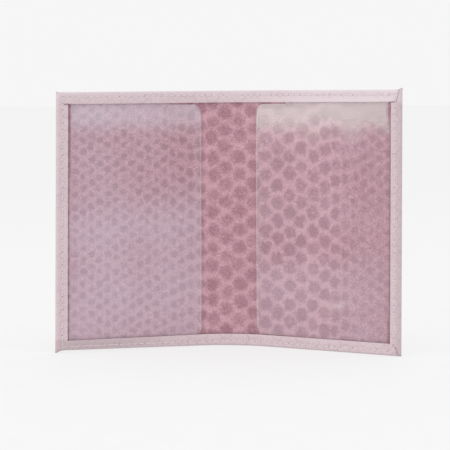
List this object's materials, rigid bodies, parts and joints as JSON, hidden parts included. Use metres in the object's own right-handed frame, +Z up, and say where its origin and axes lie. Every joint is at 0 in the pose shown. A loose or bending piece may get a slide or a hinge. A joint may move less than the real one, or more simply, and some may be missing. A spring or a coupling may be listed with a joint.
{
  "type": "passport holder",
  "caption": "Folding leather passport holder with turned-in stitched edges and a clear film pocket inside each cover, standing partly open.",
  "frame": {"origin": "centre of the bounding box in X and Y, on the plane that the bottom edge stands on", "axes": "+Z up along the spine, +Y towards the back of the spine with the covers opening towards -Y, +X towards the right cover seen from the open side"},
  "size_m": [0.1762, 0.037, 0.134],
  "materials": {
    "leather": "pale pink, embossed with small scales outside; dusty rose spots on the bare inside",
    "film": "clear, slightly hazy soft film",
    "thread": "pale pink sewing thread"
  },
  "bodies": {
    "spine": {"spine_panel": "leather", "spine_top_hem": "leather", "spine_bottom_hem": "leather", "spine_top_stitches": "thread", "spine_bottom_stitches": "thread"},
    "left_cover": {"left_cover_panel": "leather", "left_side_hem": "leather", "left_top_hem": "leather", "left_bottom_hem": "leather", "left_flap": "film", "left_side_stitches": "thread", "left_top_stitches": "thread", "left_bottom_stitches": "thread"},
    "right_cover": {"right_cover_panel": "leather", "right_side_hem": "leather", "right_top_hem": "leather", "right_bottom_hem": "leather", "right_flap": "film", "right_side_stitches": "thread", "right_top_stitches": "thread", "right_bottom_stitches": "thread"},
    "left_lip": {"left_flap_lip": "film"},
    "right_lip": {"right_flap_lip": "film"}
  },
  "joints": [
    {"name": "left_cover_hinge", "type": "hinge", "parent": "spine", "child": "left_cover", "pos_m": [-0.00485, 0.01544, 0], "axis": [0, 0, 1], "range_deg": [-23.8, 69.5]},
    {"name": "right_cover_hinge", "type": "hinge", "parent": "spine", "child": "right_cover", "pos_m": [0.00485, 0.01544, 0], "axis": [0, 0, -1], "range_deg": [-23.8, 69.5]},
    {"name": "left_lip_lift", "type": "hinge", "parent": "left_cover", "child": "left_lip", "pos_m": [-0.03359, 0.0055, 0.067], "axis": [0, 0, -1], "range_deg": [0, 12], "stiffness_Nm_per_rad": 0.002},
    {"name": "right_lip_lift", "type": "hinge", "parent": "right_cover", "child": "right_lip", "pos_m": [0.0293, 0.00739, 0.067], "axis": [0, 0, 1], "range_deg": [0, 12], "stiffness_Nm_per_rad": 0.002}
  ]
}
